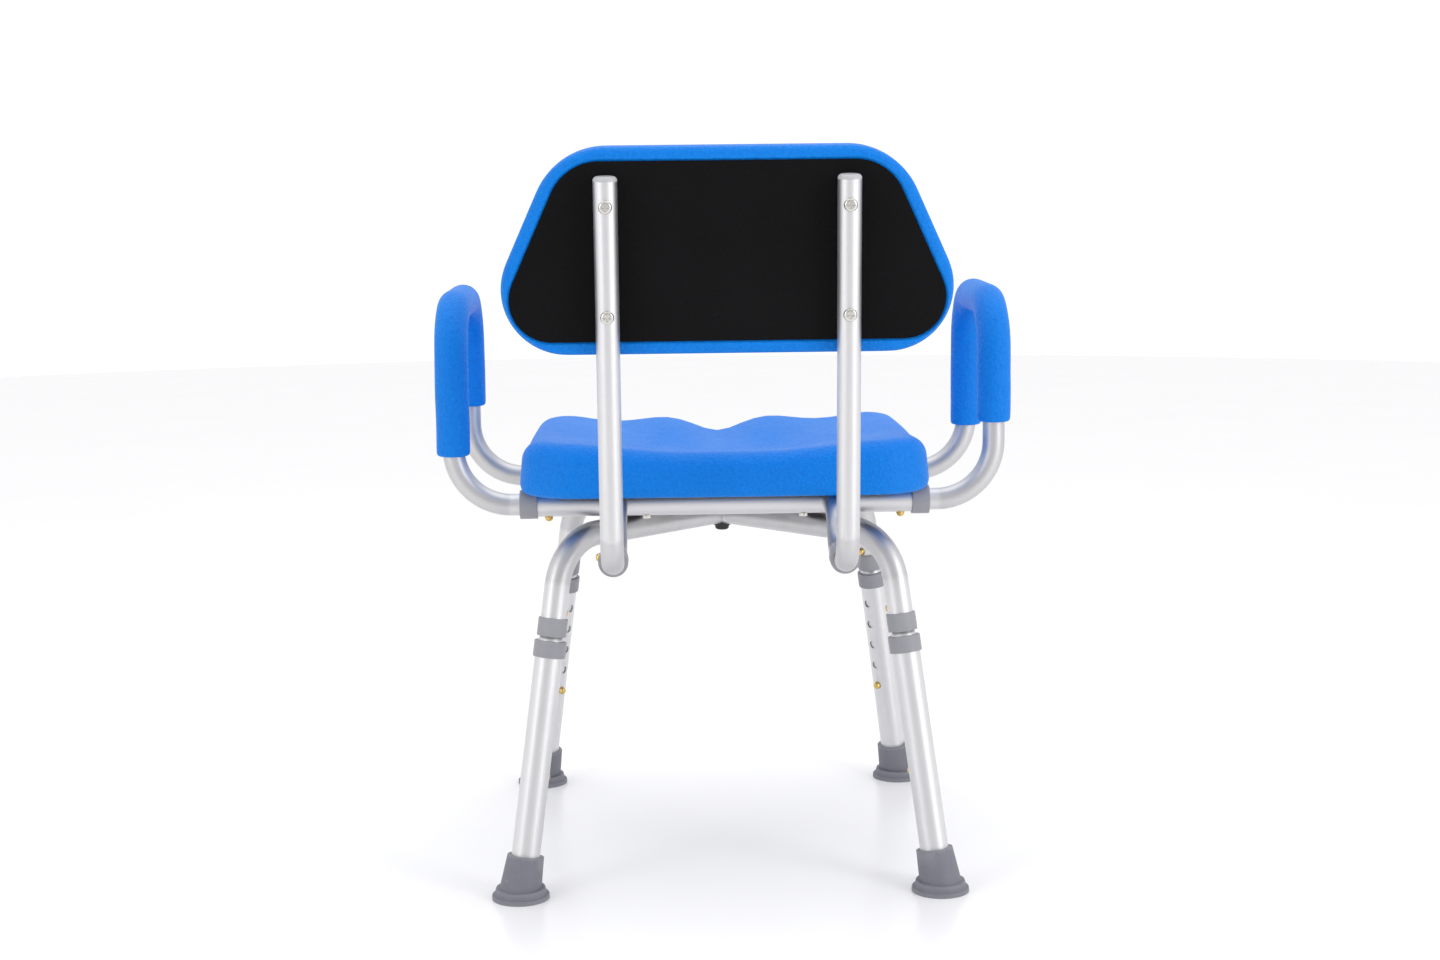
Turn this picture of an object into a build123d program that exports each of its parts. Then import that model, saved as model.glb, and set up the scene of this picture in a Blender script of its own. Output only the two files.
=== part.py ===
"""Swivel bath chair: padded seat, padded back and two plug-in arms on a four-legged aluminium base.

Millimetres, +Z up. The front of the chair faces -Y and its back is at +Y. While the pieces are made the
swivel axis is the Z axis and the floor is Z = 0. At the end the whole chair is moved along Y, so that the
origin is the middle of its outline at floor level.
"""

import os
from math import atan2, cos, degrees, pi, radians, sin, sqrt, tan

from build123d import *

# ---- Driving dimensions -------------------------------------------------------------------------

# Tubes: outside diameters and walls
FRAME_TUBE = 25.4
ARM_TUBE = 22.2
LEG_TUBE = 28.6
FRAME_WALL = 1.2
ARM_WALL = 1.2
LEG_WALL = 1.2
TUBE_PLAY = 0.4  # radial gap between a tube and the one that slides in it
WELD_GAP = 0.05  # between a tube and what is coped to it

# Base
FOOT_SPREAD = 211.0  # each foot from the swivel axis, in X and in Y
LEG_TOP_SPREAD = 164.0  # where the leg's line meets the cross, in X and in Y
CROSS_HEIGHT = 356.5  # axis of the crossing tubes
LEG_BEND = 57.0  # centreline radius of the bend from cross to leg
BENT_END = 263.0  # height of the bent tube's lower end
INNER_TOP = 300.0  # height of the inner leg tube's top
INNER_END = 96.0  # height of the inner leg tube's bottom
LOWER_TOP = 253.4  # height of the lower leg tube's top
LOWER_END = 8.0  # height of the lower leg tube's bottom
HOLE_HEIGHT = 120.0  # height of the lowest adjusting hole
HOLE_PITCH = 25.4
HOLE_COUNT = 5
TOP_BUTTON_HEIGHT = 283.0

# Collars on the legs
UPPER_COLLAR = 29.6
UPPER_COLLAR_LOW = 260.0
UPPER_COLLAR_HIGH = 278.0
LOWER_COLLAR = 32.6
LOWER_COLLAR_LOW = 239.0
LOWER_COLLAR_HIGH = 255.4
COLLAR_PLAY = 0.25  # radial gap between a collar's lip and the tube that slides in it
COLLAR_EDGE = 0.8  # rounding of a collar's rims

# Rubber feet
FOOT_DISC = 57.5
FOOT_RIM = 4.5  # height of the disc's upright rim
FOOT_STEP = 11.0  # height where the cone starts
FOOT_STEP_DIAMETER = 49.0
FOOT_STEP_FLARE = 2.0
FOOT_CONE_BASE = 42.3
FOOT_CONE_TOP = 36.8
FOOT_TOP = 42.0
FOOT_EDGE = 1.2

# Snap buttons
BUTTON = 8.2
BUTTON_HOLE_PLAY = 0.25
BUTTON_PROUD = 4.8
BUTTON_FLANGE = 10.0
BUTTON_FLANGE_THICK = 1.6
BUTTON_SEAT_GAP = 0.15  # between the flange and the tube's inside
BUTTON_DOME = 0.85  # share of the button's radius taken by its rounded top

# Swivel
PIVOT_BOLT = 12.0
PIVOT_PLAY = 0.05
WASHER = 18.0
WASHER_THICK = 2.0
NUT = 15.0
NUT_HEIGHT = 5.0
TOP_NUT_HEIGHT = 8.0
TURN_PLATE = 150.0
TURN_PLATE_THICK = 3.0
TURN_PLATE_SINK = 1.0  # how deep the lower plate is grooved over the cross
BEARING = 140.0
BEARING_BORE = 40.0
BEARING_THICK = 6.0
BEARING_PLAY = 0.05

# Seat frame
BAR_HEIGHT = 386.2  # axis of the crossbars
REAR_BAR = 128.0  # rear crossbar behind the swivel axis
FRONT_BAR = 84.0  # front crossbar before the swivel axis
BAR_HALF = 206.5  # half the length of a crossbar
BAR_COLLAR = 29.4
BAR_COLLAR_LENGTH = 18.0
BAR_COLLAR_LIP = 1.5
RAIL_SPACING = 222.0  # the two back tubes and their sockets
SOCKET_FACE = 273.0  # open end of a back socket, behind the swivel axis
SOCKET_HEIGHT = 351.5
SOCKET_STRAIGHT = 36.0
RAIL_BEND = 38.0
RAIL_SLOPE = 55.0  # degrees, of the drop from the seat frame to the sockets
SOCKET_COLLAR = 29.0
SOCKET_COLLAR_LENGTH = 16.0

# Seat
SEAT_WIDTH = 416.0
SEAT_BACK = 197.0  # rear edge behind the swivel axis
SEAT_FRONT = 205.0  # front edge before the swivel axis
SEAT_LOW = 401.4
SEAT_HIGH = 441.0  # top of the front edge
SEAT_RISE = 14.0  # how much higher the rear edge is
SEAT_CORNER = 62.0
SEAT_SHOULDER = 26.0  # rounding of the seat's upper edge
SEAT_DISH = 12.0  # how far the middle of the top is dished
SEAT_NOTCH = 20.0  # depth of the dip in the front edge
SEAT_NOTCH_WIDTH = 84.0
SEAT_NOTCH_LENGTH = 120.0
BOARD_THICK = 8.0
BOARD_INSET = 38.0
BOARD_CORNER = 26.0
BOARD_PLAY = 0.3
BOARD_SCREW = 5.0
BOARD_SCREW_HEAD = 10.0
BOARD_SCREW_HEAD_HEIGHT = 3.0
BOARD_SCREW_SPREAD = 80.0

# Arms
POST_SPREAD = 274.0  # each arm post from the swivel axis
ARM_BEND = 58.0
ARM_TOP = 584.5  # axis of the arm's level top
ARM_STUB = 58.0  # length of the arm inside the crossbar
BAR_BUTTON = 179.0  # snap buttons under the crossbars, from the swivel axis
SLEEVE = 34.0
SLEEVE_LONG_END = 437.0  # height of the sleeve's lower end on its long leg
SLEEVE_SHORT_END = 465.0
SLEEVE_EDGE = 3.0

# Back
BACK_LEAN = 5.0  # degrees
BACK_BEND = 33.0
BACK_TUBE_TOP = 717.5  # height of the back tubes' tops
BACK_STUB = 33.0  # length of a back tube inside its socket
SOCKET_BUTTON = 27.0  # snap button ahead of the socket's face
PLUG_DOME = 4.5
PLUG_DEPTH = 12.0
PAD_LOW = 551.5
PAD_HIGH = 742.3
PAD_THICK = 38.0
PAD_WIDTH_LOW = 486.0  # where the sloping sides would meet the bottom line
PAD_WIDTH_HIGH = 312.0  # where they would meet the top line
PAD_CORNER = 60.5
PAD_FRONT_EDGE = 15.0
PAD_REAR_EDGE = 7.0
PANEL_RIM = 12.5
PANEL_THICK = 4.0
PAD_GAP = 0.2  # between the panel and the back tubes
SCREW = 6.0
SCREW_PLAY = 0.1
SCREW_HEAD = 12.6
SCREW_HEAD_HEIGHT = 3.4
SCREW_DEPTH = 14.0  # how far a screw goes into the pad
SCREW_TOP_DROP = 27.0  # upper screw below the tube's top
SCREW_LOW_DROP = 127.0
RECESS_WIDTH = 1.5
RECESS_LENGTH = 7.0
RECESS_DEPTH = 1.6

# ---- What follows from them ---------------------------------------------------------------------

LEG_LEAN = atan2((FOOT_SPREAD - LEG_TOP_SPREAD) * sqrt(2), CROSS_HEIGHT)
RAIL_X = RAIL_SPACING / 2
CROSS_TOP = CROSS_HEIGHT + FRAME_TUBE / 2
PLATE_LOW = CROSS_TOP - TURN_PLATE_SINK
BEARING_LOW = PLATE_LOW + TURN_PLATE_THICK
UPPER_PLATE_LOW = BEARING_LOW + BEARING_THICK + BEARING_PLAY
BAR_TOP = BAR_HEIGHT + FRAME_TUBE / 2
SHAFT_HOLE = BUTTON / 2 + BUTTON_HOLE_PLAY
EPS = 1.0  # overshoot of cutting tools
QUADRANTS = {"rear_left": (1, 1), "rear_right": (-1, 1), "front_left": (1, -1), "front_right": (-1, -1)}


def rod(start, end, radius):
    """A solid rod from one point to another."""
    start = Vector(*start)
    along = Vector(*end) - start
    return extrude(Plane(start, z_dir=along) * Circle(radius), along.length)


def pipe(points, radii, outside, wall):
    """A round tube along straight runs joined by tangent arcs. A wall of 0 makes it solid."""
    path = FilletPolyline(*points, radius=radii)
    section = Circle(outside / 2)
    if wall > 0:
        section -= Circle(outside / 2 - wall)
    return sweep(Plane(path @ 0, z_dir=path % 0) * section, path=path)


def ring(outside, inside, low, high, edge=0.0):
    """A round ring about Z with both outer rims rounded."""
    body = Pos(0, 0, low) * extrude(Circle(outside / 2), high - low)
    if edge > 0:
        body = fillet(body.edges().filter_by(GeomType.CIRCLE), edge)
    return body - Pos(0, 0, low - EPS) * extrude(Circle(inside / 2), high - low + 2 * EPS)


def snap_button(inside_radius, outside_radius):
    """A domed snap button along +Z of its own frame, with the tube's axis at Z = 0."""
    flange_radius = BUTTON_FLANGE / 2
    flange_top = sqrt(inside_radius**2 - flange_radius**2) - BUTTON_SEAT_GAP
    flange = Pos(0, 0, flange_top - BUTTON_FLANGE_THICK) * extrude(Circle(flange_radius), BUTTON_FLANGE_THICK)
    stem_length = outside_radius + BUTTON_PROUD - flange_top + BUTTON_FLANGE_THICK
    stem = Pos(0, 0, flange_top - BUTTON_FLANGE_THICK) * extrude(Circle(BUTTON / 2), stem_length)
    stem = fillet(stem.edges().group_by(Axis.Z)[-1], BUTTON / 2 * BUTTON_DOME)
    return flange + stem


def group(solids):
    """Several separate solids kept as one node."""
    return Compound(children=list(solids))


# ---- Base ---------------------------------------------------------------------------------------

def leg_frame(side_x, side_y):
    """The leg's own frame: Z up its axis from the floor, +Y towards the chair's middle."""
    tangent = Vector(-side_y, side_x, 0).normalized()
    outward = Vector(side_x, side_y, 0).normalized()
    up = outward * -sin(LEG_LEAN) + Vector(0, 0, cos(LEG_LEAN))
    return Plane(origin=(side_x * FOOT_SPREAD, side_y * FOOT_SPREAD, 0), x_dir=tangent, z_dir=up)


def along_leg(height):
    """Distance up a leg's axis at a height above the floor."""
    return height / cos(LEG_LEAN)


def leg_point(side_x, side_y, height):
    """The point of a leg's axis at a height above the floor."""
    spread = FOOT_SPREAD + (LEG_TOP_SPREAD - FOOT_SPREAD) * height / CROSS_HEIGHT
    return (side_x * spread, side_y * spread, height)


def side_hole(radius, distance, reach):
    """A cutter across a leg towards the chair's middle, at a distance up its axis."""
    return Pos(0, 0, distance) * Rot(-90, 0, 0) * extrude(Circle(radius), reach)


def cross_tubes():
    """One tube goes right across; the other is two halves coped against it."""
    through_points = [
        leg_point(1, 1, BENT_END),
        leg_point(1, 1, CROSS_HEIGHT),
        leg_point(-1, -1, CROSS_HEIGHT),
        leg_point(-1, -1, BENT_END),
    ]
    through = pipe(through_points, [LEG_BEND, LEG_BEND], FRAME_TUBE, FRAME_WALL)
    through_core = rod(through_points[1], through_points[2], FRAME_TUBE / 2 + WELD_GAP)
    bolt_hole = rod((0, 0, 0), (0, 0, CROSS_TOP + EPS), PIVOT_BOLT / 2)
    halves = []
    for side in (1, -1):
        half_points = [
            leg_point(side, -side, BENT_END),
            leg_point(side, -side, CROSS_HEIGHT),
            (0, 0, CROSS_HEIGHT),
        ]
        half = pipe(half_points, [LEG_BEND], FRAME_TUBE, FRAME_WALL) - through_core - bolt_hole
        halves.append(max(half.solids(), key=lambda solid: solid.volume))
    holes = [
        leg_frame(*sides) * side_hole(SHAFT_HOLE, along_leg(TOP_BUTTON_HEIGHT), FRAME_TUBE)
        for sides in QUADRANTS.values()
    ]
    through = through - bolt_hole - holes[0] - holes[3]
    halves = [half - holes[1] - holes[2] for half in halves]
    return through, group(halves)


def upper_collar():
    """A grey collar round the bent tube's end, with a lip under it."""
    lip = FRAME_TUBE / 2 - FRAME_WALL + COLLAR_PLAY - TUBE_PLAY
    low, high = along_leg(UPPER_COLLAR_LOW), along_leg(UPPER_COLLAR_HIGH)
    body = ring(UPPER_COLLAR, 2 * lip, low, high, COLLAR_EDGE)
    return body - Pos(0, 0, along_leg(BENT_END)) * extrude(Circle(FRAME_TUBE / 2), high)


def inner_leg_tube():
    """The inner tube, drawn thinner at the top to enter the bent tube."""
    slim = FRAME_TUBE / 2 - FRAME_WALL - TUBE_PLAY
    cone_low, cone_high = along_leg(LOWER_COLLAR_HIGH + 1.0), along_leg(UPPER_COLLAR_LOW - 0.5)
    bottom, top = along_leg(INNER_END), along_leg(INNER_TOP)
    with BuildPart() as tube:
        with BuildSketch(Plane.XZ):
            with BuildLine():
                Polyline(
                    (FRAME_TUBE / 2, bottom),
                    (FRAME_TUBE / 2, cone_low),
                    (slim, cone_high),
                    (slim, top),
                    (slim - FRAME_WALL, top),
                    (slim - FRAME_WALL, cone_high),
                    (FRAME_TUBE / 2 - FRAME_WALL, cone_low),
                    (FRAME_TUBE / 2 - FRAME_WALL, bottom),
                    close=True,
                )
            make_face()
        revolve(axis=Axis.Z)
    low_hole = side_hole(SHAFT_HOLE, along_leg(HOLE_HEIGHT), FRAME_TUBE)
    top_hole = side_hole(SHAFT_HOLE, along_leg(TOP_BUTTON_HEIGHT), FRAME_TUBE)
    return tube.part - low_hole - top_hole


def lower_leg_tube():
    """The outer, lower tube with its row of adjusting holes."""
    tube = ring(LEG_TUBE, LEG_TUBE - 2 * LEG_WALL, along_leg(LOWER_END), along_leg(LOWER_TOP))
    for place in range(HOLE_COUNT):
        tube -= side_hole(SHAFT_HOLE, along_leg(HOLE_HEIGHT) + place * HOLE_PITCH, LEG_TUBE)
    return tube


def lower_collar():
    """A larger grey collar on the lower tube's top, with a lip over its end."""
    lip = FRAME_TUBE / 2 + COLLAR_PLAY
    low, high = along_leg(LOWER_COLLAR_LOW), along_leg(LOWER_COLLAR_HIGH)
    body = ring(LOWER_COLLAR, 2 * lip, low, high, COLLAR_EDGE)
    return body - Pos(0, 0, low - EPS) * extrude(Circle(LEG_TUBE / 2), along_leg(LOWER_TOP) - low + EPS)


def foot(side_x, side_y):
    """A rubber foot: a flat disc on the floor and a cone that leans with the leg."""
    middle = Pos(side_x * FOOT_SPREAD, side_y * FOOT_SPREAD, 0)
    disc = extrude(Circle(FOOT_DISC / 2), FOOT_RIM)
    disc = fillet(disc.edges().group_by(Axis.Z)[-1], FOOT_EDGE)
    step_foot = Pos(0, 0, FOOT_RIM) * Circle(FOOT_STEP_DIAMETER / 2 + FOOT_STEP_FLARE)
    step = loft([step_foot, Pos(0, 0, FOOT_STEP) * Circle(FOOT_STEP_DIAMETER / 2)])
    leaning = leg_frame(side_x, side_y)
    cone_foot = middle * Pos(0, 0, FOOT_STEP) * Circle(FOOT_CONE_BASE / 2)
    cone_top = leaning * Pos(0, 0, along_leg(FOOT_TOP)) * Circle(FOOT_CONE_TOP / 2)
    body = middle * (disc + step) + loft([cone_foot, cone_top])
    bore_low = along_leg(LOWER_END)
    return body - leaning * Pos(0, 0, bore_low) * extrude(Circle(LEG_TUBE / 2), along_leg(FOOT_TOP))


# ---- Swivel -------------------------------------------------------------------------------------

def plain_cross():
    """The crossing tubes as solid rods, to groove what sits on them."""
    radius = FRAME_TUBE / 2 + WELD_GAP
    first = rod(leg_point(1, 1, CROSS_HEIGHT), leg_point(-1, -1, CROSS_HEIGHT), radius)
    second = rod(leg_point(1, -1, CROSS_HEIGHT), leg_point(-1, 1, CROSS_HEIGHT), radius)
    return first + second


def lower_turn_plate():
    """The fixed plate, grooved to sit over the cross."""
    return ring(TURN_PLATE, PIVOT_BOLT, PLATE_LOW, BEARING_LOW) - plain_cross()


def bearing():
    """The slippery ring that the seat frame turns on."""
    return ring(BEARING, BEARING_BORE, BEARING_LOW, BEARING_LOW + BEARING_THICK, 0.6)


def bar_rods():
    """Both crossbars as solid rods, to cope what meets them."""
    radius = FRAME_TUBE / 2 + WELD_GAP
    rear = rod((-BAR_HALF, REAR_BAR, BAR_HEIGHT), (BAR_HALF, REAR_BAR, BAR_HEIGHT), radius)
    front = rod((-BAR_HALF, -FRONT_BAR, BAR_HEIGHT), (BAR_HALF, -FRONT_BAR, BAR_HEIGHT), radius)
    return rear, front


def upper_turn_plate():
    """The turning plate, welded between the two crossbars."""
    rear, front = bar_rods()
    depth = REAR_BAR + FRONT_BAR
    blank = extrude(Rectangle(TURN_PLATE, depth), TURN_PLATE_THICK)
    blank = Pos(0, (REAR_BAR - FRONT_BAR) / 2, UPPER_PLATE_LOW) * blank
    hole = rod((0, 0, UPPER_PLATE_LOW - EPS), (0, 0, BAR_TOP), PIVOT_BOLT / 2 + PIVOT_PLAY)
    plate = blank - rear - front - hole
    return max(plate.solids(), key=lambda solid: solid.volume)


def pivot_bolt():
    """The bolt up through the cross that the seat turns about."""
    low = CROSS_HEIGHT - FRAME_TUBE / 2 - WASHER_THICK
    top = UPPER_PLATE_LOW + TURN_PLATE_THICK + BEARING_PLAY
    stem = rod((0, 0, low), (0, 0, top), PIVOT_BOLT / 2)
    head = Pos(0, 0, top) * extrude(RegularPolygon(PIVOT_BOLT * 0.85, 6, major_radius=False), TOP_NUT_HEIGHT)
    return stem + head


def pivot_washer():
    """A black saddle washer under the crossing."""
    low = CROSS_HEIGHT - FRAME_TUBE / 2 - WASHER_THICK
    body = ring(WASHER, PIVOT_BOLT, low, CROSS_HEIGHT - FRAME_TUBE / 4)
    return body - plain_cross()


def pivot_nut():
    """The domed nut at the bottom of the pivot bolt."""
    high = CROSS_HEIGHT - FRAME_TUBE / 2 - WASHER_THICK
    body = Pos(0, 0, high - NUT_HEIGHT) * extrude(Circle(NUT / 2), NUT_HEIGHT)
    return fillet(body.edges().group_by(Axis.Z)[0], NUT_HEIGHT * 0.6)


# ---- Seat frame ---------------------------------------------------------------------------------

def crossbars():
    """Two straight tubes that take the arms in their ends."""
    bars = []
    for back in (REAR_BAR, -FRONT_BAR):
        bar = rod((-BAR_HALF, back, BAR_HEIGHT), (BAR_HALF, back, BAR_HEIGHT), FRAME_TUBE / 2)
        bore_start, bore_end = (-BAR_HALF - EPS, back, BAR_HEIGHT), (BAR_HALF + EPS, back, BAR_HEIGHT)
        bar -= rod(bore_start, bore_end, FRAME_TUBE / 2 - FRAME_WALL)
        for side in (1, -1):
            x = side * BAR_BUTTON
            bar -= rod((x, back, BAR_HEIGHT), (x, back, BAR_HEIGHT - FRAME_TUBE), SHAFT_HOLE)
        bars.append(bar)
    return group(bars)


def bar_collars():
    """Grey collars on the four crossbar ends."""
    lip = ARM_TUBE / 2 + COLLAR_PLAY
    inner_end = BAR_HALF + BAR_COLLAR_LIP - BAR_COLLAR_LENGTH
    body = ring(BAR_COLLAR, 2 * lip, inner_end, BAR_HALF + BAR_COLLAR_LIP, COLLAR_EDGE)
    body -= Pos(0, 0, inner_end - EPS) * extrude(Circle(FRAME_TUBE / 2), BAR_HALF - inner_end + EPS)
    collars = []
    for back in (REAR_BAR, -FRONT_BAR):
        for side in (1, -1):
            collars.append(Pos(0, back, BAR_HEIGHT) * Rot(0, 90 * side, 0) * body)
    return group(collars)


def rail_points(side):
    """The route of a rail: level with the bars, a sloping drop, then the level socket."""
    drop_run = (BAR_HEIGHT - SOCKET_HEIGHT) / tan(radians(RAIL_SLOPE))
    low_corner = SOCKET_FACE - SOCKET_STRAIGHT - RAIL_BEND * tan(radians(RAIL_SLOPE / 2))
    x = side * RAIL_X
    return [
        (x, -FRONT_BAR, BAR_HEIGHT),
        (x, low_corner - drop_run, BAR_HEIGHT),
        (x, low_corner, SOCKET_HEIGHT),
        (x, SOCKET_FACE, SOCKET_HEIGHT),
    ]


def seat_rails():
    """Two tubes that tie the crossbars together and end in the back's sockets."""
    rear, front = bar_rods()
    pieces = []
    for side in (1, -1):
        rail = pipe(rail_points(side), [RAIL_BEND, RAIL_BEND], FRAME_TUBE, FRAME_WALL) - rear - front
        y = SOCKET_FACE - SOCKET_BUTTON
        hole_end = (side * (RAIL_X + FRAME_TUBE), y, SOCKET_HEIGHT)
        rail -= rod((side * RAIL_X, y, SOCKET_HEIGHT), hole_end, SHAFT_HOLE)
        kept = [solid for solid in rail.solids() if solid.bounding_box().size.Y > FRAME_TUBE]
        pieces.extend(kept)
    return group(pieces)


def socket_collars():
    """Grey collars round the mouths of the back's sockets."""
    lip = ARM_TUBE / 2 + COLLAR_PLAY
    body = ring(SOCKET_COLLAR, 2 * lip, -SOCKET_COLLAR_LENGTH, BAR_COLLAR_LIP, COLLAR_EDGE)
    tube = extrude(Circle(FRAME_TUBE / 2), SOCKET_COLLAR_LENGTH + EPS)
    body -= Pos(0, 0, -SOCKET_COLLAR_LENGTH - EPS) * tube
    return group(Pos(side * RAIL_X, SOCKET_FACE, SOCKET_HEIGHT) * Rot(-90, 0, 0) * body for side in (1, -1))


# ---- Seat ---------------------------------------------------------------------------------------

def seat_board():
    """The moulded board that the cushion is stuck to, screwed to the crossbars."""
    width = SEAT_WIDTH - 2 * BOARD_INSET
    length = SEAT_BACK + SEAT_FRONT - 2 * BOARD_INSET
    outline = RectangleRounded(width, length, BOARD_CORNER)
    board = Pos(0, (SEAT_BACK - SEAT_FRONT) / 2, BAR_TOP) * extrude(outline, BOARD_THICK)
    for x, y in board_screw_places():
        board -= rod((x, y, BAR_TOP - EPS), (x, y, BAR_TOP + BOARD_THICK + EPS), BOARD_SCREW / 2)
    return board


def board_screw_places():
    """Where the board's screws come up through the crossbars."""
    return [(side * BOARD_SCREW_SPREAD, back) for side in (1, -1) for back in (REAR_BAR, -FRONT_BAR)]


def board_screws():
    """Screws from below, through each crossbar into the board."""
    low = BAR_HEIGHT - FRAME_TUBE / 2
    screws = []
    for x, y in board_screw_places():
        shaft = rod((x, y, low), (x, y, BAR_TOP + BOARD_THICK), BOARD_SCREW / 2)
        head = rod((x, y, low - BOARD_SCREW_HEAD_HEIGHT), (x, y, low + 0.6), BOARD_SCREW_HEAD / 2)
        head = fillet(head.edges().group_by(Axis.Z)[0], BOARD_SCREW_HEAD_HEIGHT * 0.4)
        screws.append(shaft + head)
    return screws


def seat_cushion():
    """The cushion: a rounded outline, a dished top that falls forward and a dip in its front edge."""
    middle = (SEAT_BACK - SEAT_FRONT) / 2
    length = SEAT_BACK + SEAT_FRONT
    rear_high = SEAT_HIGH + SEAT_RISE
    outline = RectangleRounded(SEAT_WIDTH, length, SEAT_CORNER)
    plan = Pos(0, middle, SEAT_LOW) * extrude(outline, rear_high - SEAT_LOW)
    tilt = degrees(atan2(SEAT_RISE, length))
    above = Pos(0, 0, length) * Box(2 * SEAT_WIDTH, 4 * length, 2 * length)
    plan -= Pos(0, -SEAT_FRONT, SEAT_HIGH) * Rot(tilt, 0, 0) * above
    plan = fillet(plan.faces().sort_by(Axis.Z)[-1].edges(), SEAT_SHOULDER)
    dish_radius = (SEAT_WIDTH**2 / 4 + SEAT_DISH**2) / (2 * SEAT_DISH)
    dish_front = (0, -SEAT_FRONT, SEAT_HIGH - SEAT_DISH + dish_radius)
    dish_rear = (0, SEAT_BACK, rear_high - SEAT_DISH + dish_radius)
    along = Vector(*dish_rear) - Vector(*dish_front)
    dish = rod(Vector(*dish_front) - along, Vector(*dish_rear) + along, dish_radius)
    notch_radius = (SEAT_NOTCH_WIDTH**2 / 4 + SEAT_NOTCH**2) / (2 * SEAT_NOTCH)
    notch_rear = (0, -SEAT_FRONT + 2 * SEAT_NOTCH_LENGTH, SEAT_HIGH + SEAT_NOTCH + notch_radius)
    notch_front = (0, -SEAT_FRONT - SEAT_NOTCH_LENGTH / 4, SEAT_HIGH - SEAT_NOTCH * 1.25 + notch_radius)
    cushion = plan - dish - rod(notch_front, notch_rear, notch_radius)
    pocket_width = SEAT_WIDTH - 2 * BOARD_INSET
    pocket_length = length - 2 * BOARD_INSET
    pocket = Pos(0, middle, SEAT_LOW - EPS) * extrude(
        RectangleRounded(pocket_width, pocket_length, BOARD_CORNER), BAR_TOP + BOARD_THICK - SEAT_LOW + EPS
    )
    return cushion - pocket


# ---- Arms ---------------------------------------------------------------------------------------

def arm_middle():
    """Half way between the two crossbars."""
    return (REAR_BAR - FRONT_BAR) / 2


def arm_points():
    """The route of the left arm's tube, from its rear stub to its front stub."""
    start = BAR_HALF - ARM_STUB
    return [
        (start, REAR_BAR, BAR_HEIGHT),
        (POST_SPREAD, REAR_BAR, BAR_HEIGHT),
        (POST_SPREAD, REAR_BAR, ARM_TOP),
        (POST_SPREAD, -FRONT_BAR, ARM_TOP),
        (POST_SPREAD, -FRONT_BAR, BAR_HEIGHT),
        (start, -FRONT_BAR, BAR_HEIGHT),
    ]


def arm_tube():
    """The left arm: two plug-in stubs, two posts and a level top."""
    tube = pipe(arm_points(), [ARM_BEND] * 4, ARM_TUBE, ARM_WALL)
    for back in (REAR_BAR, -FRONT_BAR):
        tube -= rod((BAR_BUTTON, back, BAR_HEIGHT), (BAR_BUTTON, back, BAR_HEIGHT - FRAME_TUBE), SHAFT_HOLE)
    return tube


def arm_sleeve():
    """The left arm's foam sleeve, longer down its rear leg."""
    ends = [
        (POST_SPREAD, REAR_BAR, SLEEVE_LONG_END),
        (POST_SPREAD, REAR_BAR, ARM_TOP),
        (POST_SPREAD, -FRONT_BAR, ARM_TOP),
        (POST_SPREAD, -FRONT_BAR, SLEEVE_SHORT_END),
    ]
    sleeve = pipe(ends, [ARM_BEND] * 2, SLEEVE, 0)
    rims = sleeve.edges().filter_by(GeomType.CIRCLE).group_by(Axis.Z)
    low_rims = [edge for edge in rims[0] + rims[1] if abs(edge.length - SLEEVE * pi) < 1.0]
    sleeve = fillet(low_rims, SLEEVE_EDGE)
    return sleeve - pipe(arm_points(), [ARM_BEND] * 4, ARM_TUBE, 0)


def other_side(shape):
    """The same piece turned half a turn about the middle of the two crossbars."""
    return Pos(0, arm_middle(), 0) * Rot(0, 0, 180) * Pos(0, -arm_middle(), 0) * shape


# ---- Back ---------------------------------------------------------------------------------------

BEND_SETBACK = BACK_BEND * tan(radians(90 - BACK_LEAN) / 2)
BACK_FOOT = (SOCKET_FACE + BAR_COLLAR_LIP + 1.5 + BEND_SETBACK, SOCKET_HEIGHT)  # Y and Z of the tube's corner


def back_point(height):
    """Y of the back tubes' axis at a height above the floor."""
    return BACK_FOOT[0] + (height - BACK_FOOT[1]) * tan(radians(BACK_LEAN))


def back_plane(height):
    """A plane on the tubes' axis: local Y runs up the tubes, and the normal faces the sitter."""
    lean = radians(BACK_LEAN)
    return Plane(origin=(0, back_point(height), height), x_dir=(1, 0, 0), z_dir=(0, -cos(lean), sin(lean)))


def screw_heights():
    """Heights of the upper and lower pad screws."""
    return [BACK_TUBE_TOP - drop for drop in (SCREW_TOP_DROP, SCREW_LOW_DROP)]


def screw_holes(radius):
    """Cutters for the four pad screws."""
    reach = ARM_TUBE / 2 + PAD_GAP + SCREW_DEPTH
    hole = Pos(0, 0, -FRAME_TUBE) * extrude(Circle(radius), reach + FRAME_TUBE)
    planes = [back_plane(height) for height in screw_heights()]
    return [plane * Pos(side * RAIL_X, 0, 0) * hole for plane in planes for side in (1, -1)]


def back_tubes():
    """Two tubes that plug into the sockets and rise behind the pad."""
    tubes = []
    for side in (1, -1):
        x = side * RAIL_X
        points = [
            (x, SOCKET_FACE - BACK_STUB, SOCKET_HEIGHT),
            (x, BACK_FOOT[0], BACK_FOOT[1]),
            (x, back_point(BACK_TUBE_TOP - PLUG_DOME), BACK_TUBE_TOP - PLUG_DOME),
        ]
        tube = pipe(points, [BACK_BEND], ARM_TUBE, ARM_WALL) - screw_holes(SCREW / 2 + SCREW_PLAY)
        y = SOCKET_FACE - SOCKET_BUTTON
        tube -= rod((x, y, SOCKET_HEIGHT), (side * (RAIL_X + FRAME_TUBE), y, SOCKET_HEIGHT), SHAFT_HOLE)
        tubes.append(tube)
    return group(tubes)


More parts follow.
